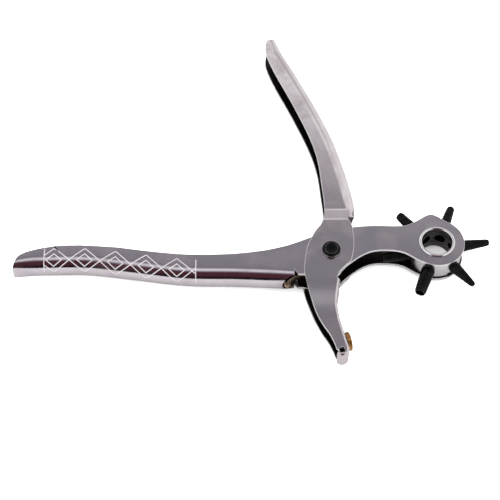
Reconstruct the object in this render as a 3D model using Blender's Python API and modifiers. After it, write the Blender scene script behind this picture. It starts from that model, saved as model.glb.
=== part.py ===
"""Revolving leather hole punch.

Two folded sheet-steel levers cross at a rivet. One ends in a head that carries a turning wheel of
six hollow punches, the other ends in a jaw with a brass anvil. The tool lies flat on its side:
+Z is the pivot's axis, +X points from the pivot towards the wheel, and the origin is on the pivot's
axis in the plane of the rivet's lower end.
"""

import math

import bmesh
import bpy
from mathutils import Matrix, Vector

# ---------------------------------------------------------------- driving sizes, in metres
SHEET = 0.0013               # thickness of both folded levers
SEAT_GAP = 0.0003            # between pieces that rest on each other
TURN_GAP = 0.0002            # radial play of a piece that turns on another

WHEEL_LEVER_HALF = 0.0065    # half the width of the wheel lever, outside its cheeks
GRIP_HALF = 0.0065           # half the width of the anvil lever's grip
JAW_HALF = 0.0052            # half the width of the jaw
WHEEL_GRIP_LENGTH = 0.151    # pivot to the end of the wheel lever's grip
ANVIL_GRIP_LENGTH = 0.1355   # pivot to the end of the anvil lever's grip
GRIP_BEND = 0.0060           # outer radius of the grips' rounded backs
FLAT_LEFT = 0.0005           # least flat between the two bends of a rounded back
JAW_BEND = 0.0017            # outer radius of the jaw's folded edges
TIP_BEND = 0.0020            # and of its tip
TIP_LENGTH = 0.0060

WHEEL_X = 0.0507             # place of the wheel's axis
WHEEL_Y = 0.0058
HEAD_RADIUS = 0.0132         # round head of the wheel lever
HUMP_RADIUS = 0.0165         # top of the hump on the head
DRUM_RADIUS = 0.0124
DRUM_BORE = 0.0071
EYELET_WALL = 0.0008
EYELET_LIP = 0.0007          # how far the flange reaches past the wall
EYELET_FLANGE = 0.0007
RECESS_LAND = 0.0002         # left between an eyelet's recess and the punches' holes

PUNCH_SIZES_MM = (4.5, 2.0, 2.5, 3.0, 3.5, 4.0)
PUNCH_COUNT = len(PUNCH_SIZES_MM)
PUNCH_REACH = 0.0261         # wheel axis to a cutting edge
PUNCH_SHANK = 0.0023         # radius of the part that sits in the drum
PUNCH_COLLAR_LENGTH = 0.0014
PUNCH_COLLAR_STEP = 0.00015  # how far the collar reaches past the cone
PUNCH_ROOT_LEAST = 0.0027    # radius of the cone next to the collar
PUNCH_ROOT_MOST = 0.00315
PUNCH_ROOT_WALL = 0.00095    # wall that a wide punch's cone keeps round its bore
PUNCH_EDGE_WALL = 0.00028    # wall of the cutting edge
PUNCH_BORE_ROOT = 0.0019     # the bore widens to this radius towards the wheel
ACTIVE_ANGLE = math.radians(-110.5)

CLOSE_ANGLE = math.radians(55.5)
ANVIL_RADIUS = 0.0045
ANVIL_THICKNESS = 0.0020
ANVIL_STEM = 0.0015
ANVIL_GAP = 0.0003           # left between the active punch and the anvil when closed

RIVET_SHANK = 0.0025
RIVET_HEAD_RADIUS = 0.0044
RIVET_HEAD = 0.0018
WASHER = 0.0008
BUSH_WALL = 0.0008

SPRING_WIRE = 0.00065        # radius of the return spring's wire
SPRING_TURNS = 4
SPRING_PLAY = 0.0004         # radial play on the bush
INDEX_STRIP = 0.0005         # thickness of the index spring
INDEX_STRIP_WIDTH = 0.0013
INDEX_PIN = 0.0009
NOTCH_RADIUS = 0.0013        # detent notches in the drum's rim

# ---------------------------------------------------------------- sizes worked out from them
CHEEK_GAP_HALF = WHEEL_LEVER_HALF - SHEET
PIVOT_HALF = WHEEL_LEVER_HALF + SEAT_GAP + SHEET
MIDDLE = WASHER + SEAT_GAP + PIVOT_HALF
DRUM_HALF = CHEEK_GAP_HALF - SEAT_GAP
EYELET_FLANGE_RADIUS = DRUM_BORE + EYELET_WALL + EYELET_LIP
RECESS_FLOOR = PUNCH_SHANK + SEAT_GAP + RECESS_LAND
COLLAR_MOST = PUNCH_ROOT_MOST + PUNCH_COLLAR_STEP
INDEX_WIDTH = min(INDEX_STRIP_WIDTH, DRUM_HALF - COLLAR_MOST - 2 * SEAT_GAP)
WHEEL_CENTRE = Vector((WHEEL_X, WHEEL_Y))
MM = 0.001

ACTIVE_DIRECTION = Vector((math.cos(ACTIVE_ANGLE), math.sin(ACTIVE_ANGLE)))
CLOSED_FACE = WHEEL_CENTRE + (PUNCH_REACH + ANVIL_GAP) * ACTIVE_DIRECTION
OPENING_TURN = Matrix.Rotation(-CLOSE_ANGLE, 2)
ANVIL_FACE = OPENING_TURN @ CLOSED_FACE
ANVIL_NORMAL = OPENING_TURN @ -ACTIVE_DIRECTION
JAW_SEAT = ANVIL_FACE - (ANVIL_THICKNESS + SEAT_GAP) * ANVIL_NORMAL
JAW_ALONG = Vector((ANVIL_NORMAL.y, -ANVIL_NORMAL.x))

# The anvil lever's cheeks are widest at the pivot, step in to the grip and taper to the jaw.
GRIP_STEP = (17.6 * MM, 25.5 * MM)
JAW_STEP = (-15.6 * MM, -35.0 * MM)
STEP_SLICES = 4

GRIP_BITE = 0.0056           # radii of the rounded ends of the open stretches beside the pivot
LEVER_BITE = 0.0062
JAW_BITE = 0.0028
GRIP_BITE_X = -17.6 * MM
GRIP_BITE_Y = -14.7 * MM
LEVER_BITE_Y = 20.5 * MM
JAW_BITE_Y = -15.5 * MM
GRIP_END_LEAN = math.radians(-22)    # slant of the lower grip's cut end
RELIEF_HOLE = 0.0026         # small square hole near the jaw's tip
GRIP_BACK_LOW = Vector((0.0116, 0.0349))    # on the anvil lever's back, past its bite


# ---------------------------------------------------------------- scene and helpers
def clear_scene():
    for item in list(bpy.data.objects):
        bpy.data.objects.remove(item, do_unlink=True)


def new_collection(name):
    collection = bpy.data.collections.new(name)
    bpy.context.scene.collection.children.link(collection)
    return collection


def finish(name, colour, roughness, metallic):
    material = bpy.data.materials.new(name)
    material.use_nodes = True
    shader = material.node_tree.nodes["Principled BSDF"]
    shader.inputs["Base Color"].default_value = (*colour, 1.0)
    shader.inputs["Roughness"].default_value = roughness
    shader.inputs["Metallic"].default_value = metallic
    return material


def add_object(name, data, collection, material=None, parent=None):
    item = bpy.data.objects.new(name, data)
    collection.objects.link(item)
    if material is not None:
        data.materials.append(material)
    if parent is not None:
        item.parent = parent
    return item


def add_axis(name, location, collection):
    axis = bpy.data.objects.new(name, None)
    axis.location = location
    collection.objects.link(axis)
    return axis


def smooth_line(points, pieces=3):
    """A curve through the points, cut into `pieces` for each span between two of them."""
    points = [Vector(p) for p in points]
    ends = [2 * points[0] - points[1], *points, 2 * points[-1] - points[-2]]
    line = []
    for a, b, c, d in zip(ends, ends[1:], ends[2:], ends[3:]):
        for step in range(pieces):
            t = step / pieces
            line.append(0.5 * (2 * b + (c - a) * t + (2 * a - 5 * b + 4 * c - d) * t**2
                               + (3 * b - a - 3 * c + d) * t**3))
    return [*line, points[-1]]


def arc(centre, radius, start, end, pieces):
    """Points on a circle from one angle to another, in radians."""
    angles = [start + (end - start) * i / pieces for i in range(pieces + 1)]
    return [centre + radius * Vector((math.cos(a), math.sin(a))) for a in angles]


def ramp(t):
    """0 to 1 with level ends."""
    t = min(1.0, max(0.0, t))
    return t * t * (3 - 2 * t)


def ease(t):
    """0 to 1, only a little steeper in the middle than a straight line."""
    t = min(1.0, max(0.0, t))
    return 0.5 * (t + ramp(t))


# ---------------------------------------------------------------- folded levers
def run_lengths(points):
    total = [0.0]
    for a, b in zip(points, points[1:]):
        total.append(total[-1] + (b - a).length)
    return total


def inward(points, i):
    """Unit normal to the left of the direction of travel, which is inside a lever's outline."""
    before = points[max(i - 1, 0)]
    after = points[min(i + 1, len(points) - 1)]
    along = (after - before).normalized()
    return Vector((-along.y, along.x))


def folded_skin(name, runs, half, bend_pieces=4):
    """The outside of a folded lever: two flat cheeks joined round the back of each folded run.

    Each run is (points, bend, lean). A run whose bend is None is a free edge. In the others bend gives
    the outer radius of the fold at each distance along the run, and lean is the slant of its start.
    """
    shape = bmesh.new()
    top = []
    bottom = []
    for points, bend, lean in runs:
        if bend is None:
            for p in points:
                top.append(shape.verts.new((p.x, p.y, half)))
                bottom.append(shape.verts.new((p.x, p.y, -half)))
            continue
        rings = []
        for i, distance in enumerate(run_lengths(points)):
            radius = bend(distance)
            side = inward(points, i)
            if i == 0:
                side.rotate(Matrix.Rotation(lean, 2))
            centre = points[i] + side * radius
            upper = []
            lower = []
            for step in range(bend_pieces + 1):
                angle = 0.5 * math.pi * step / bend_pieces
                place = centre - side * radius * math.sin(angle)
                height = half - radius * (1 - math.cos(angle))
                upper.append(shape.verts.new((place.x, place.y, height)))
                lower.append(shape.verts.new((place.x, place.y, -height)))
            top.append(upper[0])
            bottom.append(lower[0])
            rings.append(upper + lower[::-1])
        for ring, following in zip(rings, rings[1:]):
            for a, b, c, d in zip(ring, ring[1:], following[1:], following):
                shape.faces.new((a, b, c, d))
    shape.faces.new(top)
    shape.faces.new(bottom[::-1])
    bmesh.ops.remove_doubles(shape, verts=shape.verts, dist=1e-6)
    return shape


def step_in(shape, steps, half):
    """Moves both cheeks in between the lines y = start and y = end of each step."""
    for start, end, inner, curve in steps:
        for i in range(STEP_SLICES + 1):
            level = start + (end - start) * i / STEP_SLICES
            bmesh.ops.bisect_plane(
                shape,
                geom=shape.verts[:] + shape.edges[:] + shape.faces[:],
                dist=1e-6,
                plane_co=(0, level, 0),
                plane_no=(0, 1, 0),
            )
    for vertex in shape.verts:
        for start, end, inner, curve in steps:
            position = (vertex.co.y - start) / (end - start) * STEP_SLICES
            whole = math.floor(position)
            low = curve(whole / STEP_SLICES)
            high = curve((whole + 1) / STEP_SLICES)
            share = low + (high - low) * (position - whole)
            vertex.co.z -= math.copysign(share * (half - inner), vertex.co.z)


def lever(name, shape, collection, material, parent=None):
    """Gives a skin its sheet thickness, inwards."""
    mesh = bpy.data.meshes.new(name)
    shape.to_mesh(mesh)
    shape.free()
    item = add_object(name, mesh, collection, material, parent)
    item.location.z = MIDDLE
    sheet = item.modifiers.new("sheet", "SOLIDIFY")
    sheet.thickness = SHEET
    sheet.offset = -1
    sheet.use_even_offset = True
    return item


def cylinder_cutter(name, radius, depth, place, collection, axis="Z", segments=48):
    shape = bmesh.new()
    bmesh.ops.create_cone(shape, cap_ends=True, segments=segments, radius1=radius, radius2=radius,
                          depth=depth)
    mesh = bpy.data.meshes.new(name)
    shape.to_mesh(mesh)
    shape.free()
    item = add_object(name, mesh, collection)
    item.location = place
    if axis == "Y":
        item.rotation_euler = (math.pi / 2, 0, 0)
    if axis == "X":
        item.rotation_euler = (0, math.pi / 2, 0)
    return hide_guide(item)


def box_cutter(name, size, place, turn, collection):
    shape = bmesh.new()
    bmesh.ops.create_cube(shape, size=1.0)
    bmesh.ops.scale(shape, vec=size, verts=shape.verts)
    mesh = bpy.data.meshes.new(name)
    shape.to_mesh(mesh)
    shape.free()
    item = add_object(name, mesh, collection)
    item.location = place
    item.rotation_euler = (0, 0, turn)
    return hide_guide(item)


def hide_guide(item):
    item.hide_render = True
    item.display_type = "WIRE"
    return item


def cut(item, cutter):
    change = item.modifiers.new(cutter.name, "BOOLEAN")
    change.operation = "DIFFERENCE"
    change.object = cutter


def grip_bend(length, half, start_radius, end_radius, start_length, end_length):
    """Fold radius along a grip: small at its ends, nearly half round between."""
    full = min(GRIP_BEND, half - FLAT_LEFT)

    def radius(distance):
        first = ramp(distance / start_length)
        last = ramp((length - distance) / end_length)
        return min(start_radius + (full - start_radius) * first,
                   end_radius + (full - end_radius) * last)
    return radius


def wheel_lever_runs():
    """Outline of the wheel lever, anticlockwise from the end of its grip along the back."""
    grip = WHEEL_GRIP_LENGTH
    back = smooth_line([
        (-grip, -0.0080), (-0.87 * grip, -0.0074), (-0.76 * grip, -0.0075), (-0.62 * grip, -0.0102),
        (-0.46 * grip, -0.0134), (-0.30 * grip, -0.0139), (-0.19 * grip, -0.0146),
        (GRIP_BITE_X, GRIP_BITE_Y),
    ])
    lobe = smooth_line([
        (-0.0158, -0.0122), (-0.0125, -0.0124), (-0.0060, -0.0146), (-0.0005, -0.0152),
        (0.0033, -0.0125), (0.0058, -0.0090), (0.0096, -0.0054), (0.0149, -0.0014),
        (0.0199, 0.0008), (0.0252, 0.0014), (0.0313, 0.0010), (0.0358, -0.0005),
        WHEEL_CENTRE + Vector((-0.0094, -0.0101)),
    ], 3)
    head_start = math.radians(-121)
    head_end = math.radians(66)
    head = arc(WHEEL_CENTRE, HEAD_RADIUS, head_start, head_end, 30)
    hump_top = WHEEL_CENTRE + HUMP_RADIUS * Vector((math.cos(math.radians(96)),
                                                    math.sin(math.radians(96))))
    hump = smooth_line([
        hump_top + Vector((0.0030, -0.0013)), hump_top, hump_top + Vector((-0.0032, -0.0012)),
        hump_top + Vector((-0.0080, -0.0043)), hump_top + Vector((-0.0130, -0.0066)),
        (0.0300, 0.0153), (0.0200, 0.0155), (0.0080, 0.0142), (-0.0040, 0.0111), (-0.0136, 0.0070),
        (-0.15 * grip, 0.0036), (-0.23 * grip, 0.0008), (-0.34 * grip, -0.0009),
        (-0.46 * grip, -0.0009), (-0.57 * grip, 0.0008), (-0.68 * grip, 0.0031),
        (-0.79 * grip, 0.0042), (-0.87 * grip, 0.0037), (-0.945 * grip, 0.0012),
        (-0.978 * grip, -0.0013), (-0.990 * grip, -0.0035),
    ], 3)
    length = run_lengths(back)[-1]
    bend = grip_bend(length, WHEEL_LEVER_HALF, 0.0043, 0.0052, 0.010, 0.012)
    return [(back, bend, GRIP_END_LEAN), (lobe, None, 0), (head, None, 0), (hump[:-1], None, 0)]


def make_wheel_lever(collection, cutters, material):
    shape = folded_skin("wheel_handle", wheel_lever_runs(), WHEEL_LEVER_HALF)
    item = lever("wheel_handle", shape, collection, material)
    through = 4 * PIVOT_HALF
    cut(item, cylinder_cutter("pivot_hole", RIVET_SHANK + TURN_GAP, through, (0, 0, MIDDLE), cutters))
    axle = DRUM_BORE + EYELET_WALL + TURN_GAP
    cut(item, cylinder_cutter("axle_hole", axle, through, (WHEEL_X, WHEEL_Y, MIDDLE), cutters, "Z", 64))
    bite = (GRIP_BITE_X, GRIP_BITE_Y, MIDDLE)
    cut(item, cylinder_cutter("grip_bite", GRIP_BITE, 0.014, bite, cutters, "Y", 32))
    pin = INDEX_PIN + TURN_GAP
    low = MIDDLE - WHEEL_LEVER_HALF
    cut(item, cylinder_cutter("index_hole", pin, 3 * SHEET, (*INDEX_PIN_PLACE, low), cutters, "Z", 24))
    return item


def jaw_point(along, out):
    return JAW_SEAT + JAW_ALONG * along + ANVIL_NORMAL * out


def tip_bend(distance):
    """Fold radius from the jaw's rounded tip along its back."""
    return TIP_BEND + (JAW_BEND - TIP_BEND) * ramp((distance - 0.5 * TIP_LENGTH) / TIP_LENGTH)


def anvil_lever_runs():
    """Outline of the anvil lever, anticlockwise from the start of the jaw's open side."""
    grip = ANVIL_GRIP_LENGTH
    open_side = smooth_line([
        (-0.0300, 0.985 * grip), (-0.0306, 0.944 * grip), (-0.0297, 0.905 * grip),
        (-0.0256, 0.820 * grip), (-0.0173, 0.678 * grip), (-0.0094, 0.527 * grip),
        (-0.0053, 0.416 * grip), (-0.0034, 0.290 * grip), (-0.0024, 0.0246), (-0.0039, 0.0166),
        (-0.0076, 0.0108), (-0.0113, 0.0023), (-0.0125, -0.0053), (-0.0130, -0.0109),
        (-0.0121, -0.0169), (-0.0107, -0.0225), jaw_point(-0.0176, -0.0101),
        jaw_point(-0.0094, -0.0087), jaw_point(-0.0035, -0.0070), jaw_point(0.0021, -0.0061),
        jaw_point(0.0048, -0.0060),
    ], 3)
    tip = smooth_line([
        jaw_point(0.0072, -0.0063), jaw_point(0.0088, -0.0048), jaw_point(0.0089, -0.0025),
        jaw_point(0.0076, -0.0007), jaw_point(0.0053, 0.0),
    ], 3)
    jaw_back = smooth_line([
        jaw_point(-0.0060, 0.0), jaw_point(-0.0120, 0.0001), (0.0022, -0.0275), (0.0030, -0.0210),
        (0.0039, JAW_BITE_Y),
    ], 3)
    pivot_side = smooth_line([
        (0.0035, -0.0118), (0.0067, -0.0081), (0.0092, -0.0053), (0.0107, 0.0006),
        (0.0111, 0.0075), (0.0105, 0.0145),
    ], 3)
    back = smooth_line([
        (0.0125, LEVER_BITE_Y), (0.0125, 0.0265), GRIP_BACK_LOW, (0.0078, 0.392 * grip),
        (0.0024, 0.532 * grip), (-0.0052, 0.675 * grip), (-0.0141, 0.823 * grip),
        (-0.0204, 0.920 * grip), (-0.0255, grip),
    ])
    length = run_lengths(back)[-1]
    bend = grip_bend(length, GRIP_HALF, 0.0044, 0.0037, 0.014, 0.010)
    return [(open_side, None, 0), (tip + jaw_back, tip_bend, 0), (pivot_side, None, 0),
            (back, bend, 0)]


def make_anvil_lever(collection, cutters, material, axis):
    shape = folded_skin("anvil_handle", anvil_lever_runs(), PIVOT_HALF)
    steps = [(*GRIP_STEP, GRIP_HALF, ramp), (*JAW_STEP, JAW_HALF, ease)]
    step_in(shape, steps, PIVOT_HALF)
    item = lever("anvil_handle", shape, collection, material, axis)
    through = 4 * PIVOT_HALF
    cut(item, cylinder_cutter("lever_hole", RIVET_SHANK + TURN_GAP, through, (0, 0, MIDDLE), cutters))
    bite = (0.0125, LEVER_BITE_Y + 0.001, MIDDLE)
    cut(item, cylinder_cutter("lever_bite", LEVER_BITE, 0.010, bite, cutters, "X", 32))
    jaw_bite = (0.0039, JAW_BITE_Y, MIDDLE)
    cut(item, cylinder_cutter("jaw_bite", JAW_BITE, 0.006, jaw_bite, cutters, "X", 32))
    hole = jaw_point(0.0062, -0.0036)
    size = (RELIEF_HOLE, RELIEF_HOLE, through)
    turn = math.atan2(ANVIL_NORMAL.y, ANVIL_NORMAL.x)
    cut(item, box_cutter("relief_hole", size, (hole.x, hole.y, MIDDLE), turn, cutters))
    stem = jaw_point(0, 0)
    stem_cutter = cylinder_cutter("stem_hole", ANVIL_STEM + TURN_GAP, 4 * SHEET,
                                  (stem.x, stem.y, MIDDLE), cutters, "X", 32)
    stem_cutter.rotation_euler = (0, math.pi / 2, turn)
    cut(item, stem_cutter)
    return item


# ---------------------------------------------------------------- turned pieces
def turned(name, profile, collection, material, parent=None, steps=36, hollow=False):
    """Spins a profile of (radius, height) points about Z. It runs down the outer side first."""
    mesh = bpy.data.meshes.new(name)
    edges = [(i, i + 1) for i in range(len(profile) - 1)]
    if hollow:
        edges.append((len(profile) - 1, 0))
    mesh.from_pydata([(radius, 0, height) for radius, height in profile], edges, [])
    item = add_object(name, mesh, collection, material, parent)
    spin = item.modifiers.new("spin", "SCREW")
    spin.steps = steps
    spin.render_steps = steps
    spin.use_merge_vertices = True
    spin.merge_threshold = 0.00001
    spin.use_smooth_shade = True
    return item


def make_pivot(collection, black, steel):
    top = MIDDLE + PIVOT_HALF + SEAT_GAP
    rim = RIVET_HEAD_RADIUS - 0.0006
    rivet = turned("pivot_rivet", [
        (0, top + RIVET_HEAD - 0.0002), (rim - 0.0008, top + RIVET_HEAD - 0.0002),
        (rim - 0.0004, top + RIVET_HEAD), (rim, top + RIVET_HEAD),
        (RIVET_HEAD_RADIUS, top + RIVET_HEAD - 0.0007), (RIVET_HEAD_RADIUS, top),
        (RIVET_SHANK, top), (RIVET_SHANK, 0), (0, 0),
    ], collection, black)
    washer_bore = RIVET_SHANK + TURN_GAP
    washer = turned("rivet_washer", [
        (RIVET_HEAD_RADIUS, WASHER), (RIVET_HEAD_RADIUS, 0.0003), (RIVET_HEAD_RADIUS - 0.0003, 0),
        (washer_bore, 0), (washer_bore, WASHER),
    ], collection, black, hollow=True)
    bush_half = CHEEK_GAP_HALF - SEAT_GAP
    bush_bore = RIVET_SHANK + TURN_GAP
    bush = turned("pivot_bush", [
        (bush_bore + BUSH_WALL, MIDDLE + bush_half), (bush_bore + BUSH_WALL, MIDDLE - bush_half),
        (bush_bore, MIDDLE - bush_half), (bush_bore, MIDDLE + bush_half),
    ], collection, steel, hollow=True)
    return rivet, washer, bush


def make_anvil(collection, brass, axis):
    """The profile's height runs along the anvil's normal, from the stem's end to its face."""
    groove = 0.0002
    inner_end = -SEAT_GAP - SHEET - 0.0008
    anvil = turned("anvil", [
        (0, ANVIL_THICKNESS), (ANVIL_RADIUS - 0.0003, ANVIL_THICKNESS),
        (ANVIL_RADIUS, ANVIL_THICKNESS - 0.0003), (ANVIL_RADIUS, 0.5 * ANVIL_THICKNESS + groove),
        (ANVIL_RADIUS - groove, 0.5 * ANVIL_THICKNESS),
        (ANVIL_RADIUS, 0.5 * ANVIL_THICKNESS - groove), (ANVIL_RADIUS, 0.0002),
        (ANVIL_RADIUS - 0.0002, 0), (ANVIL_STEM, 0), (ANVIL_STEM, inner_end), (0, inner_end),
    ], collection, brass, axis, steps=28)
    base = ANVIL_FACE - ANVIL_THICKNESS * ANVIL_NORMAL
    anvil.location = (base.x, base.y, MIDDLE)
    turn = math.atan2(ANVIL_NORMAL.y, ANVIL_NORMAL.x)
    anvil.rotation_euler = (0, math.pi / 2, turn)
    return anvil


def make_drum(collection, cutters, nickel, axis):
    recess = DRUM_BORE + EYELET_WALL + SEAT_GAP
    edge = 0.0004
    drum = turned("punch_drum", [
        (DRUM_RADIUS - edge, DRUM_HALF), (DRUM_RADIUS, DRUM_HALF - edge),
        (DRUM_RADIUS, edge - DRUM_HALF), (DRUM_RADIUS - edge, -DRUM_HALF), (recess, -DRUM_HALF),
        (recess, -RECESS_FLOOR), (DRUM_BORE, -RECESS_FLOOR), (DRUM_BORE, RECESS_FLOOR),
        (recess, RECESS_FLOOR), (recess, DRUM_HALF),
    ], collection, nickel, axis, steps=60, hollow=True)
    holes = bmesh.new()
    for i in range(PUNCH_COUNT):
        angle = ACTIVE_ANGLE + 2 * math.pi * i / PUNCH_COUNT
        middle = 0.5 * (DRUM_BORE + DRUM_RADIUS)
        turn = Matrix.Rotation(angle, 4, "Z") @ Matrix.Translation((middle, 0, 0))
        turn = turn @ Matrix.Rotation(math.pi / 2, 4, "Y")
        radius = PUNCH_SHANK + SEAT_GAP
        bmesh.ops.create_cone(holes, cap_ends=True, segments=18, radius1=radius, radius2=radius,
                              depth=DRUM_RADIUS - DRUM_BORE + 0.004, matrix=turn)
        angle = INDEX_ANGLE + 2 * math.pi * i / PUNCH_COUNT
        place = Matrix.Rotation(angle, 4, "Z") @ Matrix.Translation(
            (DRUM_RADIUS + 0.4 * NOTCH_RADIUS, 0, -DRUM_HALF))
        depth = 2 * (INDEX_WIDTH + 2 * SEAT_GAP)
        bmesh.ops.create_cone(holes, cap_ends=True, segments=12, radius1=NOTCH_RADIUS,
                              radius2=NOTCH_RADIUS, depth=depth, matrix=place)
    mesh = bpy.data.meshes.new("drum_holes")
    holes.to_mesh(mesh)
    holes.free()
    cutter = hide_guide(add_object("drum_holes", mesh, cutters, parent=axis))
    cut(drum, cutter)
    return drum


def make_eyelet(name, side, collection, nickel, axis):
    seat = WHEEL_LEVER_HALF + SEAT_GAP
    outer = DRUM_BORE + EYELET_WALL
    reach = RECESS_FLOOR + SEAT_GAP
    rise = EYELET_FLANGE
    eyelet = turned(name, [
        (DRUM_BORE + 0.0005, seat + rise), (EYELET_FLANGE_RADIUS - 0.0004, seat + rise),
        (EYELET_FLANGE_RADIUS, seat + 0.5 * rise), (EYELET_FLANGE_RADIUS - 0.0001, seat),
        (outer, seat), (outer, reach), (DRUM_BORE, reach), (DRUM_BORE, seat + 0.4 * rise),
    ], collection, nickel, axis, steps=48, hollow=True)
    if side < 0:
        eyelet.rotation_euler = (math.pi, 0, 0)
    return eyelet


def punch_name(size):
    return "punch_tube_" + f"{size:.1f}".replace(".", "_") + "mm"


def punch_root(size):
    """Radius of a punch's cone next to its collar."""
    return min(PUNCH_ROOT_MOST, max(PUNCH_ROOT_LEAST, 0.5 * size * MM + PUNCH_ROOT_WALL))


def make_punch(index, size, collection, black, axis):
    """A hollow punch. Its height runs outwards from the wheel's axis."""
    inner = 0.5 * size * MM
    edge = inner + PUNCH_EDGE_WALL
    bevel = 0.0012
    root = DRUM_RADIUS + SEAT_GAP
    shoulder = root + PUNCH_COLLAR_LENGTH
    body = edge + 0.00022
    cone = punch_root(size)
    collar = cone + PUNCH_COLLAR_STEP
    bore_root = max(PUNCH_BORE_ROOT, inner)
    punch = turned(punch_name(size), [
        (edge - 0.00016, PUNCH_REACH), (body, PUNCH_REACH - bevel), (cone, shoulder + 0.0004),
        (collar, shoulder), (collar, root), (PUNCH_SHANK, root),
        (PUNCH_SHANK, DRUM_BORE + 0.0006), (bore_root, DRUM_BORE + 0.0006),
        (bore_root, shoulder), (inner, PUNCH_REACH - 2.5 * bevel), (inner, PUNCH_REACH),
    ], collection, black, axis, steps=20, hollow=True)
    angle = ACTIVE_ANGLE + 2 * math.pi * index / PUNCH_COUNT
    punch.rotation_euler = (0, math.pi / 2, angle)
    return punch


# ---------------------------------------------------------------- springs
INDEX_ANGLE = ACTIVE_ANGLE - math.radians(69.5)
INDEX_NOSE = WHEEL_CENTRE + (DRUM_RADIUS - 0.3 * NOTCH_RADIUS + SEAT_GAP) * Vector(
    (math.cos(INDEX_ANGLE), math.sin(INDEX_ANGLE)))
INDEX_PIN_PLACE = INDEX_NOSE + Vector((-0.0085, 0.0062))
SPRING_COIL = RIVET_SHANK + TURN_GAP + BUSH_WALL + SPRING_PLAY + SPRING_WIRE
SPRING_HALF = CHEEK_GAP_HALF - 2 * SEAT_GAP - SPRING_WIRE


def wire(name, points, radius, collection, material, resolution=2):
    curve = bpy.data.curves.new(name, "CURVE")
    curve.dimensions = "3D"
    curve.bevel_depth = radius
    curve.bevel_resolution = resolution
    curve.use_fill_caps = True
    spline = curve.splines.new("POLY")
    spline.points.add(len(points) - 1)
    for place, point in zip(spline.points, points):
        place.co = (*point, 1)
    return add_object(name, curve, collection, material)


def return_spring_points():
    """Loop in the wheel lever's open stretch, leg, coil round the bush, leg up the other grip."""
    loop_radius = 0.00105
    loop = Vector((GRIP_BITE_X - 0.0031, -0.0137))
    points = []
    for i in range(11):
        angle = math.radians(-215 + 30 * i)
        place = loop + loop_radius * Vector((math.cos(angle), math.sin(angle)))
        points.append(Vector((*place, MIDDLE - 0.0006 * i / 10)))
    low = MIDDLE - SPRING_HALF
    points.append(Vector((-0.0172, -0.0096, MIDDLE - 0.0012)))
    points.append(Vector((-0.0120, -0.0075, MIDDLE - 0.0025)))
    points.append(Vector((-0.0060, -0.0062, low)))
    turn_pieces = 12
    start = math.radians(-112)
    count = round(turn_pieces * (SPRING_TURNS + 0.31))
    for i in range(count + 1):
        angle = start + 2 * math.pi * i / turn_pieces
        rise = 2 * SPRING_HALF * i / count
        points.append(Vector((SPRING_COIL * math.cos(angle), SPRING_COIL * math.sin(angle), low + rise)))
    high = MIDDLE + SPRING_HALF
    points.append(Vector((0.0050, 0.0060, high - 0.0003)))
    points.append(Vector((0.0061, 0.0130, MIDDLE + 0.0022)))
    points.append(Vector((0.0076, 0.0220, MIDDLE + 0.0008)))
    inside = GRIP_BACK_LOW.x - SHEET - SEAT_GAP - SPRING_WIRE
    points.append(Vector((inside - 0.0006, 0.0290, MIDDLE)))
    points.append(Vector((inside - 0.0003, GRIP_BACK_LOW.y, MIDDLE)))
    return points


def make_index_spring(collection, steel):
    """A strip curled round its pin, with a rounded nose in one of the drum's notches."""
    eye = INDEX_PIN + TURN_GAP + SEAT_GAP + 0.5 * INDEX_STRIP
    line = arc(INDEX_PIN_PLACE, eye, math.radians(-200), math.radians(80), 12)
    nose = INDEX_NOSE
    line += smooth_line([
        INDEX_PIN_PLACE + Vector((0.0022, 0.0011)), nose + Vector((-0.0036, 0.0046)),
        nose + Vector((-0.0015, 0.0023)), nose + Vector((-0.0008, 0.0011)),
        nose, nose + Vector((-0.0009, -0.0010)), nose + Vector((-0.0017, -0.0024)),
    ], 3)
    strip = bpy.data.curves.new("index_spring", "CURVE")
    strip.dimensions = "3D"
    strip.extrude = 0.5 * INDEX_WIDTH
    spline = strip.splines.new("POLY")
    spline.points.add(len(line) - 1)
    for place, point in zip(spline.points, line):
        place.co = (*point, 0, 1)
    item = add_object("index_spring", strip, collection, steel)
    item.location.z = MIDDLE - CHEEK_GAP_HALF + SEAT_GAP + 0.5 * INDEX_WIDTH
    sheet = item.modifiers.new("sheet", "SOLIDIFY")
    sheet.thickness = INDEX_STRIP
    sheet.offset = 0
    sheet.use_even_offset = True
    return item


def make_index_pin(collection, steel):
    low = MIDDLE - WHEEL_LEVER_HALF
    floor = MIDDLE - CHEEK_GAP_HALF
    head = floor + SEAT_GAP + INDEX_WIDTH + SEAT_GAP
    pin = turned("index_spring_pin", [
        (0, head + 0.0004), (INDEX_PIN + 0.0003, head + 0.0004), (INDEX_PIN + 0.0005, head),
        (INDEX_PIN, head), (INDEX_PIN, low), (0, low),
    ], collection, steel, steps=16)
    pin.location = (*INDEX_PIN_PLACE, 0)
    return pin


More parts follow.
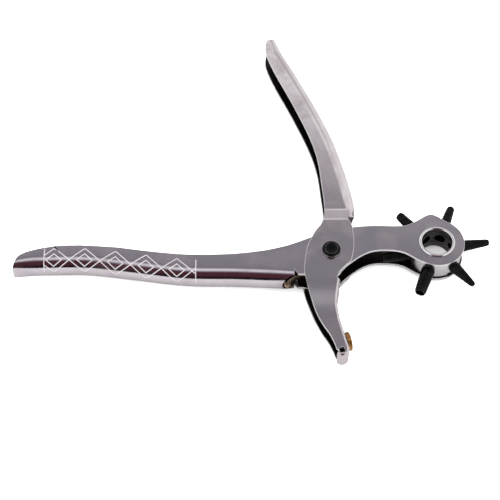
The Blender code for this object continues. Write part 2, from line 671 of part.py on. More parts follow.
# ---------------------------------------------------------------- the whole tool
def build():
    clear_scene()
    parts = new_collection("revolving_leather_punch")
    cutters = new_collection("cutters")
    nickel = finish("polished_nickel_steel", (0.62, 0.60, 0.62), 0.22, 1.0)
    lever_nickel = finish("bright_nickel_steel", (0.74, 0.72, 0.73), 0.20, 1.0)
    chrome = finish("bright_chrome", (0.85, 0.85, 0.86), 0.08, 1.0)
    drum_nickel = finish("satin_nickel", (0.70, 0.69, 0.70), 0.30, 1.0)
    black = finish("black_oxide_steel", (0.02, 0.02, 0.022), 0.38, 0.6)
    brass = finish("brass", (0.70, 0.47, 0.20), 0.32, 1.0)
    spring_steel = finish("bronzed_spring_steel", (0.52, 0.42, 0.30), 0.35, 1.0)
    plain_steel = finish("plain_steel", (0.45, 0.44, 0.43), 0.40, 1.0)

    pivot_axis = add_axis("pivot_axis", (0, 0, 0), parts)
    wheel_axis = add_axis("wheel_axis", (WHEEL_X, WHEEL_Y, MIDDLE), parts)

    make_wheel_lever(parts, cutters, nickel)
    make_anvil_lever(parts, cutters, lever_nickel, pivot_axis)
    make_pivot(parts, black, plain_steel)
    make_anvil(parts, brass, pivot_axis)
    wire("return_spring", return_spring_points(), SPRING_WIRE, parts, spring_steel)
    make_index_spring(parts, spring_steel)
    make_index_pin(parts, plain_steel)
    make_drum(parts, cutters, drum_nickel, wheel_axis)
    make_eyelet("axle_eyelet_top", 1, parts, chrome, wheel_axis)
    make_eyelet("axle_eyelet_bottom", -1, parts, chrome, wheel_axis)
    for index, size in enumerate(PUNCH_SIZES_MM):
        make_punch(index, size, parts, black, wheel_axis)


build()
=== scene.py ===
# %% [markdown]
# # A revolving leather punch
# Two folded steel levers cross at a rivet. One carries a wheel of six hollow punches, the other a
# brass anvil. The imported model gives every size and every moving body, so it is loaded first, and
# each finer piece is then made in the same place as the plain one that it stands for.

# %% Load the frame
import math

import bmesh
import bpy
from mathutils import Matrix, Vector


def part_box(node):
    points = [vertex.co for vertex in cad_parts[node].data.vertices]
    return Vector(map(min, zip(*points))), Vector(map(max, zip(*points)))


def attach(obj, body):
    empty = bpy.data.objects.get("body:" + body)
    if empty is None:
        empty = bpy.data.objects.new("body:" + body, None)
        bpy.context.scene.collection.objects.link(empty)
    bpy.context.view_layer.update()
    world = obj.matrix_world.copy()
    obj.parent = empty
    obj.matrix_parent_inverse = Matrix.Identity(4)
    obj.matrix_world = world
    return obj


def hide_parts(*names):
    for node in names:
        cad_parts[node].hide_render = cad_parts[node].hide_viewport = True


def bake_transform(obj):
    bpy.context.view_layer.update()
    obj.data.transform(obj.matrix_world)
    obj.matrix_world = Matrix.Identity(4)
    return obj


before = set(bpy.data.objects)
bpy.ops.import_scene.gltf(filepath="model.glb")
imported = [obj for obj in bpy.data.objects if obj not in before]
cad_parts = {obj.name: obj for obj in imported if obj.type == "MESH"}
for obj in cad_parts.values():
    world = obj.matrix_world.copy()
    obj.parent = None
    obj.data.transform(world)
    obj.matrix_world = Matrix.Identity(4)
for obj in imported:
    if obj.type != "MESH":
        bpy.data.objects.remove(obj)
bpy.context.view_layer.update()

# %% [markdown]
# ## Camera
# The tool lies on its side and is seen from the front and well above. A long lens keeps the two
# grips nearly in true proportion, as in a catalogue picture.

# %% Camera
AIM = Vector((-0.03845, 0.00568, 0.0092))
CAMERA_LIFT = math.radians(56.2)
CAMERA_DISTANCE = 0.720

lens = bpy.data.cameras.new("camera")
lens.lens = 108
lens.sensor_width = 36
lens.clip_start = 0.01
camera = bpy.data.objects.new("camera", lens)
camera.location = AIM + CAMERA_DISTANCE * Vector((0, -math.cos(CAMERA_LIFT), math.sin(CAMERA_LIFT)))
camera.rotation_euler = (math.pi / 2 - CAMERA_LIFT, 0, 0)
bpy.context.scene.collection.objects.link(camera)
bpy.context.scene.camera = camera
bpy.context.scene.view_settings.view_transform = "Standard"
print("camera at", [round(v, 4) for v in camera.location])

# %% [markdown]
# ## Building with nodes
# A material or a world is a small tree of nodes. This helper adds one node, sets its options and
# either links or sets each of its sockets, so that a whole tree reads as a few lines.


# %% A helper for nodes
def node(tree, kind, sockets=None, **options):
    item = tree.nodes.new("ShaderNode" + kind)
    for option, value in options.items():
        setattr(item, option, value)
    for key, value in (sockets or {}).items():
        if isinstance(value, bpy.types.NodeSocket):
            tree.links.new(value, item.inputs[key])
        else:
            item.inputs[key].default_value = value
    return item


def math_node(tree, operation, *values, clamp=False):
    return node(tree, "Math", dict(enumerate(values)), operation=operation, use_clamp=clamp).outputs[0]


def smooth_step(tree, value, low, high):
    """0 below low, 1 above high, and an even curve between."""
    return node(tree, "MapRange", {0: value, 1: low, 2: high},
                interpolation_type="SMOOTHSTEP").outputs[0]


def ramp_node(tree, factor, stops):
    """A colour for each place along a ramp."""
    item = node(tree, "ValToRGB", {0: factor})
    elements = item.color_ramp.elements
    while len(elements) < len(stops):
        elements.new(0.5)
    for element, (place, colour) in zip(elements, stops):
        element.position = place
        element.color = (*colour, 1)
    return item.outputs[0]


# %% [markdown]
# ## Studio
# Polished steel has hardly any look of its own: it shows the room. So the room is a white tent
# with a soft light straight above, a grey ceiling behind it, and a dark side where the camera
# stands. The dark side draws the black band along the rounded backs, and the floor draws the light
# band under it. The floor is white to look at and greyer where the metal mirrors it, which sets the
# tone of that band. A world made of nodes is used because it gives no noise.

# %% Studio walls
HALF_TURN = 180.0


def around(degrees):
    """Place on the ramp of a direction: degrees from straight up, positive away from the camera."""
    return (degrees + HALF_TURN) / (2 * HALF_TURN)


TENT = (0.98, 0.955, 0.96)
SOFT_LIGHT = (0.88, 0.86, 0.89)
CEILING = (0.262, 0.246, 0.276)
LIT_CEILING = (0.60, 0.575, 0.60)
DARK = (0.006, 0.004, 0.005)
MAROON = (0.085, 0.026, 0.038)
DUSK = (0.16, 0.12, 0.15)
FILL = 3.3

world = bpy.data.worlds.new("white_tent")
world.use_nodes = True
tree = world.node_tree
tree.nodes.clear()
direction = node(tree, "TexCoord").outputs["Generated"]
axes = node(tree, "SeparateXYZ", {0: direction}).outputs
turn = math_node(tree, "ARCTAN2", axes[1], axes[2])
turn = node(tree, "MapRange", {0: turn, 1: -math.pi, 2: math.pi}).outputs[0]
middle = ramp_node(tree, turn, [
    (around(-100), DARK), (around(-74), DARK), (around(-60), MAROON), (around(-30), MAROON),
    (around(-22), DUSK), (around(-9), SOFT_LIGHT), (around(2), SOFT_LIGHT), (around(14), CEILING),
    (around(36.3), CEILING), (around(39.6), TENT), (around(46), TENT), (around(53), LIT_CEILING),
    (around(72), LIT_CEILING), (around(95), TENT),
])
aside = math_node(tree, "ABSOLUTE", axes[0])
aside = smooth_step(tree, aside, 0.34, 0.56)
room = node(tree, "Mix", {0: aside, 6: middle, 7: (*TENT, 1)}, data_type="RGBA").outputs[2]
path = node(tree, "LightPath").outputs
room = node(tree, "Mix", {0: path["Is Camera Ray"], 6: room, 7: (1, 1, 1, 1)}, data_type="RGBA").outputs[2]
room = node(tree, "Mix", {0: path["Is Diffuse Ray"], 6: room, 7: (1, 1, 1, 1)}, data_type="RGBA").outputs[2]
strength = math_node(tree, "MULTIPLY_ADD", path["Is Diffuse Ray"], FILL - 1, 1.0)
sky = node(tree, "Background", {"Color": room, "Strength": strength})
out = node(tree, "OutputWorld", {"Surface": sky.outputs[0]})
bpy.context.scene.world = world
print("room has", len(tree.nodes), "nodes")

# %% Floor
FLOOR_SIDE = 6.0
FLOOR_WHITE = (0.95, 0.95, 0.95, 1)
FLOOR_IN_METAL = (0.31, 0.30, 0.305, 1)
floor_shape = bmesh.new()
bmesh.ops.create_grid(floor_shape, x_segments=1, y_segments=1, size=FLOOR_SIDE / 2)
floor_mesh = bpy.data.meshes.new("floor")
floor_shape.to_mesh(floor_mesh)
floor_shape.free()
floor = bpy.data.objects.new("floor", floor_mesh)
floor.location.z = -0.0002
bpy.context.scene.collection.objects.link(floor)
pale = bpy.data.materials.new("pale_floor")
pale.use_nodes = True
surface = pale.node_tree.nodes["Principled BSDF"]
surface.inputs["Roughness"].default_value = 0.9
surface.inputs["Specular IOR Level"].default_value = 0.0
mirrored = node(pale.node_tree, "LightPath").outputs["Is Glossy Ray"]
paper = node(pale.node_tree, "Mix", {0: mirrored, 6: FLOOR_WHITE, 7: FLOOR_IN_METAL},
             data_type="RGBA").outputs[2]
pale.node_tree.links.new(paper, surface.inputs["Base Color"])
floor_mesh.materials.append(pale)
print("floor", FLOOR_SIDE, "m wide")

# %% Lamp
lamp = bpy.data.lights.new("overhead_softbox", "AREA")
lamp.shape = "RECTANGLE"
lamp.size = 1.1
lamp.size_y = 0.35
lamp.energy = 1.2
overhead = bpy.data.objects.new("overhead_softbox", lamp)
overhead.location = (-0.03, 0.02, 1.5)
overhead.visible_glossy = False
bpy.context.scene.collection.objects.link(overhead)
print("softbox", lamp.size, "x", lamp.size_y, "m")

# %% [markdown]
# ## Finishes
# Every metal here shares three effects: a fine grain left by polishing, soft waves left by the
# press, and marks left by hands. Each one is a node group, built once, which puts out a value. The
# shader itself stays in each material, so a piece can be silky or bright with the same groups.


# %% Node groups
def new_group(name, inputs, outputs):
    group = bpy.data.node_groups.new(name, "ShaderNodeTree")
    for label, value in inputs.items():
        socket = group.interface.new_socket(label, in_out="INPUT", socket_type="NodeSocketFloat")
        socket.default_value = value
    for label in outputs:
        group.interface.new_socket(label, in_out="OUTPUT", socket_type="NodeSocketFloat")
    start = group.nodes.new("NodeGroupInput")
    end = group.nodes.new("NodeGroupOutput")
    return group, start.outputs, end.inputs


def scaled_place(tree, along, across):
    """The piece's own coordinates, stretched so that a pattern is longer along X."""
    place = node(tree, "TexCoord").outputs["Object"]
    scale = node(tree, "CombineXYZ", {0: along, 1: across, 2: across}).outputs[0]
    return node(tree, "VectorMath", {0: place, 1: scale}, operation="MULTIPLY").outputs[0]


grain, given, results = new_group("polishing_grain", {"Along": 200.0, "Across": 2600.0}, ["Grain"])
place = scaled_place(grain, given["Along"], given["Across"])
lines = node(grain, "TexNoise", {"Vector": place, "Scale": 1.0, "Detail": 3.0, "Roughness": 0.6})
grain.links.new(lines.outputs[0], results["Grain"])

waves, given, results = new_group("press_waves", {"Fineness": 40.0}, ["Height"])
place = scaled_place(waves, given["Fineness"], given["Fineness"])
swell = node(waves, "TexNoise", {"Vector": place, "Scale": 1.0, "Detail": 1.0, "Roughness": 0.3})
waves.links.new(swell.outputs[0], results["Height"])

handling, given, results = new_group("handling_marks", {"Fineness": 70.0, "Cover": 0.5}, ["Marks"])
place = scaled_place(handling, given["Fineness"], given["Fineness"])
cloud = node(handling, "TexNoise", {"Vector": place, "Scale": 1.0, "Detail": 5.0, "Roughness": 0.62,
                                    "Distortion": 0.6}).outputs[0]
edge = math_node(handling, "SUBTRACT", 1.0, given["Cover"])
low = math_node(handling, "SUBTRACT", edge, 0.16)
high = math_node(handling, "ADD", edge, 0.16)
marks = node(handling, "MapRange", {0: cloud, 1: low, 2: high}, interpolation_type="SMOOTHSTEP")
handling.links.new(marks.outputs[0], results["Marks"])

scratches, given, results = new_group("hair_scratches", {"Fineness": 60.0}, ["Scratches"])
place = scaled_place(scratches, given["Fineness"], given["Fineness"])
total = None
for angle, stretch in ((0.35, 34.0), (-0.9, 40.0), (1.35, 28.0)):
    turned_place = node(scratches, "Mapping", {"Vector": place, "Rotation": (0, 0, angle)}).outputs[0]
    long_place = node(scratches, "VectorMath", {0: turned_place, 1: (1.0, stretch, 1.0)},
                      operation="MULTIPLY").outputs[0]
    hair = node(scratches, "TexNoise", {"Vector": long_place, "Scale": 1.0, "Detail": 2.0}).outputs[0]
    hair = smooth_step(scratches, hair, 0.70, 0.76)
    total = hair if total is None else math_node(scratches, "MAXIMUM", total, hair)
scratches.links.new(total, results["Scratches"])
print("groups:", [g.name for g in bpy.data.node_groups])

# %% [markdown]
# A metal is one Principled shader. Marks mix two colours and lift the roughness, and grain,
# waves and hair scratches are heights in metres for one Bump node. What is even all over, such
# as how metallic it is, sits on the shader's own socket.


# %% A metal with grain, waves and marks
def metal(name, colour, marked, roughness, dulled, grain_depth, wave_depth, metallic=1.0,
          along=200.0, across=2600.0, cover=0.45, fineness=70.0, gloss=0.5):
    """Colours go from clean to marked, and roughness from clean to dulled."""
    finish = bpy.data.materials.new(name)
    finish.use_nodes = True
    tree = finish.node_tree
    shader = tree.nodes["Principled BSDF"]
    shader.inputs["Metallic"].default_value = metallic
    shader.inputs["Specular IOR Level"].default_value = gloss

    def group(tree_of, **values):
        item = node(tree, "Group", node_tree=tree_of)
        for label, value in values.items():
            item.inputs[label].default_value = value
        return item.outputs[0]

    lines = group(grain, Along=along, Across=across)
    swell = group(waves, Fineness=38.0)
    marks = group(handling, Fineness=fineness, Cover=cover)
    hairs = group(scratches, Fineness=62.0)
    shade = node(tree, "Mix", {0: marks, 6: (*colour, 1), 7: (*marked, 1)}, data_type="RGBA").outputs[2]
    tree.links.new(shade, shader.inputs["Base Color"])
    rough = node(tree, "MapRange", {0: marks, 3: roughness, 4: dulled}).outputs[0]
    rough = math_node(tree, "MULTIPLY_ADD", lines, 0.25 * (dulled - roughness), rough)
    rough = math_node(tree, "MULTIPLY_ADD", hairs, 0.10, rough)
    tree.links.new(rough, shader.inputs["Roughness"])
    height = math_node(tree, "MULTIPLY", lines, grain_depth)
    height = math_node(tree, "MULTIPLY_ADD", swell, wave_depth, height)
    height = math_node(tree, "MULTIPLY_ADD", hairs, -2.0 * grain_depth, height)
    bump = node(tree, "Bump", {"Height": height, "Strength": 1.0, "Distance": 1.0})
    tree.links.new(bump.outputs[0], shader.inputs["Normal"])
    return finish


MICRON = 1e-6
wheel_nickel = metal("polished_nickel", (0.69, 0.66, 0.69), (0.59, 0.55, 0.58), 0.11, 0.22,
                     0.8 * MICRON, 70 * MICRON)
anvil_nickel = metal("bright_nickel", (0.71, 0.68, 0.70), (0.62, 0.575, 0.59), 0.10, 0.21,
                     0.8 * MICRON, 70 * MICRON, along=2600.0, across=200.0)
cut_edge = metal("cut_edge", (0.93, 0.92, 0.93), (0.80, 0.79, 0.80), 0.16, 0.30,
                 1.5 * MICRON, 0, along=900.0, across=900.0)
# Near-black finish for the inner faces of the folded levers and the walls of the punch holes: painted shade,
# the dark that falls inside the channels and holes.
painted_shade_inside = metal("inside_painted_shade", (0.030, 0.024, 0.024), (0.060, 0.040, 0.034), 0.32, 0.50,
                2 * MICRON, 20 * MICRON, cover=0.35)
chrome = metal("bright_chrome", (0.90, 0.90, 0.91), (0.82, 0.81, 0.82), 0.05, 0.13,
               0.5 * MICRON, 0, along=900.0, across=900.0)
satin = metal("satin_nickel", (0.80, 0.79, 0.79), (0.70, 0.68, 0.68), 0.24, 0.36,
              2 * MICRON, 0, along=900.0, across=900.0)
black_oxide = metal("black_oxide", (0.0015, 0.0015, 0.0018), (0.004, 0.0037, 0.0037), 0.20, 0.32,
                    2 * MICRON, 0, metallic=0.1, along=1400.0, across=1400.0, fineness=260.0,
                    gloss=0.10)
worn_black = metal("worn_black_edge", (0.07, 0.07, 0.075), (0.30, 0.29, 0.29), 0.20, 0.30,
                   2 * MICRON, 0, metallic=0.9, along=1400.0, across=1400.0, fineness=420.0,
                   cover=0.5)
brass = metal("brass", (0.54, 0.31, 0.11), (0.27, 0.13, 0.05), 0.20, 0.42, 3 * MICRON, 0,
              along=900.0, across=900.0, fineness=300.0)
bronzed = metal("bronzed_wire", (0.72, 0.58, 0.42), (0.42, 0.30, 0.19), 0.20, 0.36, 2 * MICRON, 0,
                along=900.0, across=900.0, fineness=300.0)
# Dark grey for the wheel's bore and the eyelets' inner walls: painted shade, the shade deep inside the bore.
bore_painted_shade = metal("wheel_bore_painted_shade", (0.17, 0.165, 0.17), (0.10, 0.09, 0.09), 0.30, 0.45, 2 * MICRON, 0,
                   along=900.0, across=900.0, fineness=200.0)
steel = metal("plain_steel", (0.52, 0.51, 0.50), (0.36, 0.33, 0.31), 0.28, 0.45, 2 * MICRON, 0,
              along=900.0, across=900.0, fineness=200.0)
print("finishes:", len(bpy.data.materials))

# %% [markdown]
# ## Shared sizes
# These are the tool's own sizes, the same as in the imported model. The wheel's axis and the middle
# plane are read from the model, so the fine pieces can't drift from the plain ones.

# %% Sizes
MM = 0.001
SHEET = 1.3 * MM
SEAT_GAP = 0.3 * MM
TURN_GAP = 0.2 * MM
WHEEL_LEVER_HALF = 6.5 * MM
GRIP_HALF = 6.5 * MM
JAW_HALF = 5.2 * MM
PIVOT_HALF = WHEEL_LEVER_HALF + SEAT_GAP + SHEET
RIVET_SHANK = 2.5 * MM
PIVOT_HOLE = RIVET_SHANK + TURN_GAP
BUSH_WALL = 0.8 * MM
EDGE_ROUND = 0.28 * MM
PUNCH_COUNT = 6

drum_low, drum_high = (Vector(corner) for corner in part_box("punch_drum"))
WHEEL = 0.5 * (drum_low + drum_high)
MIDDLE = WHEEL.z
print("wheel axis", [round(v / MM, 2) for v in WHEEL], "mm")


# %% [markdown]
# ## Lines
# A pressed outline is a smooth curve through a few chosen points. The same two helpers draw the levers'
# outlines and the springs.


# %% Lines
def smooth_line(points, pieces):
    """A curve through the points, cut into `pieces` for each span between two of them."""
    points = [Vector(p) for p in points]
    ends = [2 * points[0] - points[1], *points, 2 * points[-1] - points[-2]]
    line = []
    for a, b, c, d in zip(ends, ends[1:], ends[2:], ends[3:]):
        for step in range(pieces):
            t = step / pieces
            line.append(0.5 * (2 * b + (c - a) * t + (2 * a - 5 * b + 4 * c - d) * t**2
                               + (3 * b - a - 3 * c + d) * t**3))
    return [*line, points[-1]]


def arc(centre, radius, start, end, pieces):
    """Points on a circle, with its angles in degrees."""
    turns = [math.radians(start + (end - start) * i / pieces) for i in range(pieces + 1)]
    return [centre + radius * Vector((math.cos(t), math.sin(t))) for t in turns]


def ramp(t):
    """0 to 1 with level ends."""
    t = min(1.0, max(0.0, t))
    return t * t * (3 - 2 * t)


def ease(t):
    """0 to 1, only a little steeper in the middle than a straight line."""
    t = min(1.0, max(0.0, t))
    return 0.5 * (t + ramp(t))


def distances(points):
    total = [0.0]
    for a, b in zip(points, points[1:]):
        total.append(total[-1] + (b - a).length)
    return total


def flat(x, y):
    """A point of an outline, in millimetres."""
    return Vector((x, y)) * MM


# %% [markdown]
# ## Finishing a piece
# Every piece ends the same way: its bmesh becomes a mesh, it gets its finishes and its sharp edges, it goes
# under the body that it moves with, if any, and the plain solids that it stands for are hidden.


# %% Finishing a piece
SHARP = math.radians(32)


def applied(mesh, prepare):
    """Puts a mesh through modifiers and gives back the result."""
    helper = bpy.data.objects.new("helper", mesh)
    bpy.context.scene.collection.objects.link(helper)
    prepare(helper)
    bpy.context.view_layer.update()
    ready = helper.evaluated_get(bpy.context.evaluated_depsgraph_get())
    result = bpy.data.meshes.new_from_object(ready)
    bpy.data.objects.remove(helper)
    bpy.data.meshes.remove(mesh)
    return result


def weigh_normals(helper):
    """A big flat face keeps its own direction up to its rounded edge."""
    change = helper.modifiers.new("weigh", "WEIGHTED_NORMAL")
    change.mode = "FACE_AREA"
    change.weight = 100
    change.keep_sharp = True


def finish_piece(name, mesh, finishes, body, nodes=()):
    mesh.name = name
    for slot_number, finish in enumerate(finishes):
        if slot_number < len(mesh.materials):
            mesh.materials[slot_number] = finish
        else:
            mesh.materials.append(finish)
    while len(mesh.materials) > len(finishes):
        mesh.materials.pop(index=len(mesh.materials) - 1)
    mesh.shade_smooth()
    mesh.set_sharp_from_angle(angle=SHARP)
    mesh = applied(mesh, weigh_normals)
    mesh.name = name
    piece = bpy.data.objects.new(name, mesh)
    bpy.context.scene.collection.objects.link(piece)
    if body:
        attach(piece, body)
    if nodes:
        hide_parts(*nodes)
    print(name, len(mesh.polygons), "faces")
    return piece


def to_mesh(shape, name):
    mesh = bpy.data.meshes.new(name)
    shape.to_mesh(mesh)
    shape.free()
    return mesh


def cut_away(mesh, shape, edge_slot):
    """Takes the closed bodies in a bmesh away from a mesh; the cut faces get the edge's finish."""
    for face in shape.faces:
        face.material_index = edge_slot
    cutter = bpy.data.objects.new("cutter", to_mesh(shape, "cutter"))
    for slot in range(edge_slot + 1):
        cutter.data.materials.append(cut_edge)
    bpy.context.scene.collection.objects.link(cutter)

    def prepare(helper):
        change = helper.modifiers.new("cut", "BOOLEAN")
        change.object = cutter
        change.operation = "DIFFERENCE"
        change.solver = "EXACT"
        change.use_self = True
        change.material_mode = "INDEX"

    result = applied(mesh, prepare)
    bpy.data.meshes.remove(cutter.data)
    return result


def break_edges(mesh, width, edge_slot, sharp=math.radians(40)):
    """Small rounds on every sharp edge, as tumbling and plating leave them. A weight on each edge
    makes its round narrower beside short edges, so that no two rounds run into each other."""
    shape = bmesh.new()
    shape.from_mesh(mesh)
    room = {vertex: min(edge.calc_length() for edge in vertex.link_edges) for vertex in shape.verts}
    weight = shape.edges.layers.float.new("bevel_weight_edge")
    for edge in shape.edges:
        if edge.calc_face_angle(0) > sharp:
            edge[weight] = min(1.0, 0.45 * min(room[vertex] for vertex in edge.verts) / width)
    shape.to_mesh(mesh)
    shape.free()

    def prepare(helper):
        change = helper.modifiers.new("round", "BEVEL")
        change.width = width
        change.segments = 2
        change.limit_method = "WEIGHT"
        change.use_clamp_overlap = False
        change.material = edge_slot
    return applied(mesh, prepare)


# %% [markdown]
# ## Folded sheet
# Each lever is one flat blank folded round its back, like a hem, so it is a channel: two cheeks
# and a rounded web. It could be a box with bevelled edges, but the fold's radius changes along
# the grip. So a vertex is spun through a quarter turn at each station along the back, the
# sections are bridged, the cheek is filled in, and the half is mirrored.


# %% Half of a folded sheet
def fold_section(shape, place, inside, radius, half, steps):
    """One section of the fold, from the cheek's edge round to the middle of the web."""
    centre = place + inside * radius
    first_edge = len(shape.edges)
    top = shape.verts.new((*centre, half))
    swung = bmesh.ops.spin(shape, geom=[top], cent=(*centre, half - radius),
                           axis=(inside.y, -inside.x, 0), angle=math.pi / 2, steps=steps)
    foot = bmesh.ops.extrude_vert_indiv(
        shape, verts=[v for v in swung["geom_last"] if isinstance(v, bmesh.types.BMVert)])
    foot["verts"][0].co.z = 0
    shape.edges.ensure_lookup_table()
    return top, shape.edges[first_edge:]


def folded_half(runs, half, steps=10):
    """Runs are (points, bend, lean), anticlockwise. A run without a bend is a free edge.

    The lean slants a run's first section, which is a cut end.
    """
    shape = bmesh.new()
    rim = []
    strips = []
    for points, bend, lean in runs:
        if bend is None:
            rim += [shape.verts.new((p.x, p.y, half)) for p in points]
            continue
        sections = []
        for i, distance in enumerate(distances(points)):
            along = (points[min(i + 1, len(points) - 1)] - points[max(i - 1, 0)]).normalized()
            inside = Vector((-along.y, along.x))
            if i == 0:
                inside.rotate(Matrix.Rotation(lean, 2))
            top, edges = fold_section(shape, points[i], inside, bend(distance), half, steps)
            rim.append(top)
            sections.append(edges)
        strips.append(sections)
    for sections in strips:
        for edges, following in zip(sections, sections[1:]):
            bmesh.ops.bridge_loops(shape, edges=edges + following)
    outline = [shape.edges.get(pair) or shape.edges.new(pair) for pair in zip(rim, rim[1:] + rim[:1])]
    bmesh.ops.contextual_create(shape, geom=outline)
    return shape


# %% The other half, and the thickness of the sheet
def slice_at(shape, levels, axis):
    """Cuts the sheet across, so that it can bend there. Cuts that miss a corner by a hair join it."""
    for level in levels:
        bmesh.ops.bisect_plane(shape, geom=shape.verts[:] + shape.edges[:] + shape.faces[:],
                               dist=1e-7, plane_co=axis * level, plane_no=axis)
    bmesh.ops.remove_doubles(shape, verts=shape.verts, dist=0.2 * MM)


def whole_sheet(shape, name):
    """Mirrors a half, gives it its thickness inwards, and lifts it to the tool's middle plane."""
    everything = shape.verts[:] + shape.edges[:] + shape.faces[:]
    bmesh.ops.mirror(shape, geom=everything, matrix=Matrix(), merge_dist=1e-6, axis="Z")
    bmesh.ops.remove_doubles(shape, verts=shape.verts, dist=1e-6)
    bmesh.ops.recalc_face_normals(shape, faces=shape.faces)
    cheek = max(shape.faces, key=lambda face: face.calc_center_median().z)
    if cheek.normal.z < 0:
        bmesh.ops.reverse_faces(shape, faces=shape.faces)
    bmesh.ops.translate(shape, vec=(0, 0, MIDDLE), verts=shape.verts)
    mesh = to_mesh(shape, name)
    # The inner faces take the second finish, which is painted shade inside the channel.
    for finish in (wheel_nickel, painted_shade_inside, cut_edge):
        mesh.materials.append(finish)

    def prepare(helper):
        sheet = helper.modifiers.new("sheet", "SOLIDIFY")
        sheet.thickness = SHEET
        sheet.offset = -1
        sheet.use_even_offset = True
        sheet.material_offset = 1
        sheet.material_offset_rim = 2
    return applied(mesh, prepare)


# %% Cutters
def rod(shape, radius, depth, place, axis, steps=64):
    """A closed rod for a round hole. Its axis points along a direction."""
    turn = Vector(axis).to_track_quat("Z", "Y").to_matrix().to_4x4()
    bmesh.ops.create_cone(shape, cap_ends=True, segments=steps, radius1=radius, radius2=radius,
                          depth=depth, matrix=Matrix.Translation(place) @ turn)


def grip_bend(length, half, start_radius, end_radius, start_length, end_length):
    """Fold radius along a grip: small at its ends, nearly half round between."""
    full = min(6.0 * MM, half - 0.5 * MM)

    def radius(distance):
        first = ramp(distance / start_length)
        last = ramp((length - distance) / end_length)
        return min(start_radius + (full - start_radius) * first,
                   end_radius + (full - end_radius) * last)
    return radius


# %% [markdown]
# ## Wheel lever
# The long lower grip, the arched neck and the round head are one pressing. Its outline goes
# anticlockwise from the grip's end: the folded back, the lobe under the pivot, the neck's arch,
# the head, the hump that covers one punch, and the front edge back to the end.

# %% Outline of the wheel lever
GRIP_BITE = flat(-17.6, -14.7)
GRIP_BITE_RADIUS = 5.6 * MM
HEAD_HOLE = 8.1 * MM
back = smooth_line([
    flat(-151, -8.0), flat(-131.4, -7.4), flat(-114.8, -7.5), flat(-93.6, -10.2),
    flat(-69.5, -13.4), flat(-45.3, -13.9), flat(-28.7, -14.6), GRIP_BITE,
], 6)
centre = WHEEL.to_2d()
lobe_and_arch = smooth_line([
    flat(-15.8, -12.2), flat(-12.5, -12.4), flat(-6.0, -14.6), flat(-0.5, -15.2), flat(3.3, -12.5),
    flat(5.8, -9.0), flat(9.6, -5.4), flat(14.9, -1.4), flat(19.9, 0.8), flat(25.2, 1.4),
    flat(31.3, 1.0), flat(35.8, -0.5), centre + flat(-9.4, -10.1),
], 5)
head = arc(centre, 13.2 * MM, -121, 66, 60)
hump_top = centre + 16.5 * MM * Vector((math.cos(math.radians(96)), math.sin(math.radians(96))))
front = smooth_line([
    hump_top + flat(3.0, -1.3), hump_top, hump_top + flat(-3.2, -1.2), hump_top + flat(-8.0, -4.3),
    hump_top + flat(-13.0, -6.6), flat(30.0, 15.3), flat(20.0, 15.5), flat(8.0, 14.2),
    flat(-4.0, 11.1), flat(-13.6, 7.0), flat(-22.65, 3.6), flat(-34.7, 0.8), flat(-51.3, -0.9),
    flat(-69.5, -0.9), flat(-86.1, 0.8), flat(-102.7, 3.1), flat(-119.3, 4.2), flat(-131.4, 3.7),
    flat(-142.7, 1.2), flat(-147.7, -1.3), flat(-149.5, -3.5),
], 5)
back_bend = grip_bend(distances(back)[-1], WHEEL_LEVER_HALF, 4.3 * MM, 5.2 * MM, 10 * MM, 12 * MM)
END_LEAN = math.radians(-22)
print("grip back", round(distances(back)[-1] / MM, 1), "mm long")

# %% Wheel lever
shape = folded_half([(back, back_bend, END_LEAN), (lobe_and_arch, None, 0), (head, None, 0),
                     (front[:-1], None, 0)], WHEEL_LEVER_HALF)
SLICES_FROM, SLICES_TO, SLICE_STEP = -139, -26, 4
slice_at(shape, [x * MM for x in range(SLICES_FROM, SLICES_TO, SLICE_STEP)], Vector((1, 0, 0)))
mesh = whole_sheet(shape, "wheel_lever_sheet")
holes = bmesh.new()
through = 4 * PIVOT_HALF
rod(holes, PIVOT_HOLE, through, (0, 0, MIDDLE), (0, 0, 1))
rod(holes, HEAD_HOLE, through, WHEEL, (0, 0, 1), 96)
rod(holes, GRIP_BITE_RADIUS, 14 * MM, (*GRIP_BITE, MIDDLE), (0, 1, 0))
mesh = cut_away(mesh, holes, 2)
mesh = break_edges(mesh, EDGE_ROUND, 2)
wheel_sheet = finish_piece("wheel_lever_sheet", mesh, (wheel_nickel, painted_shade_inside, cut_edge), "wheel_lever",
                           ["wheel_handle"])

# %% [markdown]
# ## Frosted pattern on the grip
# A fine chain of lozenges is blasted onto the grip, half on the cheek and half on the rounded back.
# A flat projection would smear it over the back, so a UV map lays the sheet flat: one axis runs
# along the grip, and the other is the way round the fold. The pattern is then plain arithmetic.

# %% Laying the sheet flat
GRIP_FOLD = 6.0 * MM


def laid_flat(point):
    """Distance along the grip, and distance from the fold's start: onto the cheek, or round it."""
    ahead = min(max(sum(p.x < point.x for p in back), 1), len(back) - 1)
    a, b = back[ahead - 1], back[ahead]
    fold = a.y + (b.y - a.y) * (point.x - a.x) / (b.x - a.x) + GRIP_FOLD
    height = point.z - MIDDLE - WHEEL_LEVER_HALF + GRIP_FOLD
    if point.y > fold:
        return point.x, math.copysign(point.y - fold, height)
    return point.x, -GRIP_FOLD * math.atan2(fold - point.y, max(height, 0)) + min(height, 0)


unrolled = wheel_sheet.data.uv_layers.new(name="unrolled")
for loop in wheel_sheet.data.loops:
    unrolled.data[loop.index].uv = laid_flat(wheel_sheet.data.vertices[loop.vertex_index].co)
print("laid flat:", len(unrolled.data), "corners")

# %% Lozenges
LOZENGE_LONG = 7.3 * MM
LOZENGE_HIGH = 6.2 * MM
ROW = -2.6 * MM
PATTERN_MIDDLE = -100 * MM
PATTERN_HALF = 36 * MM
LINE = 0.21 * MM
STRENGTH = 0.6

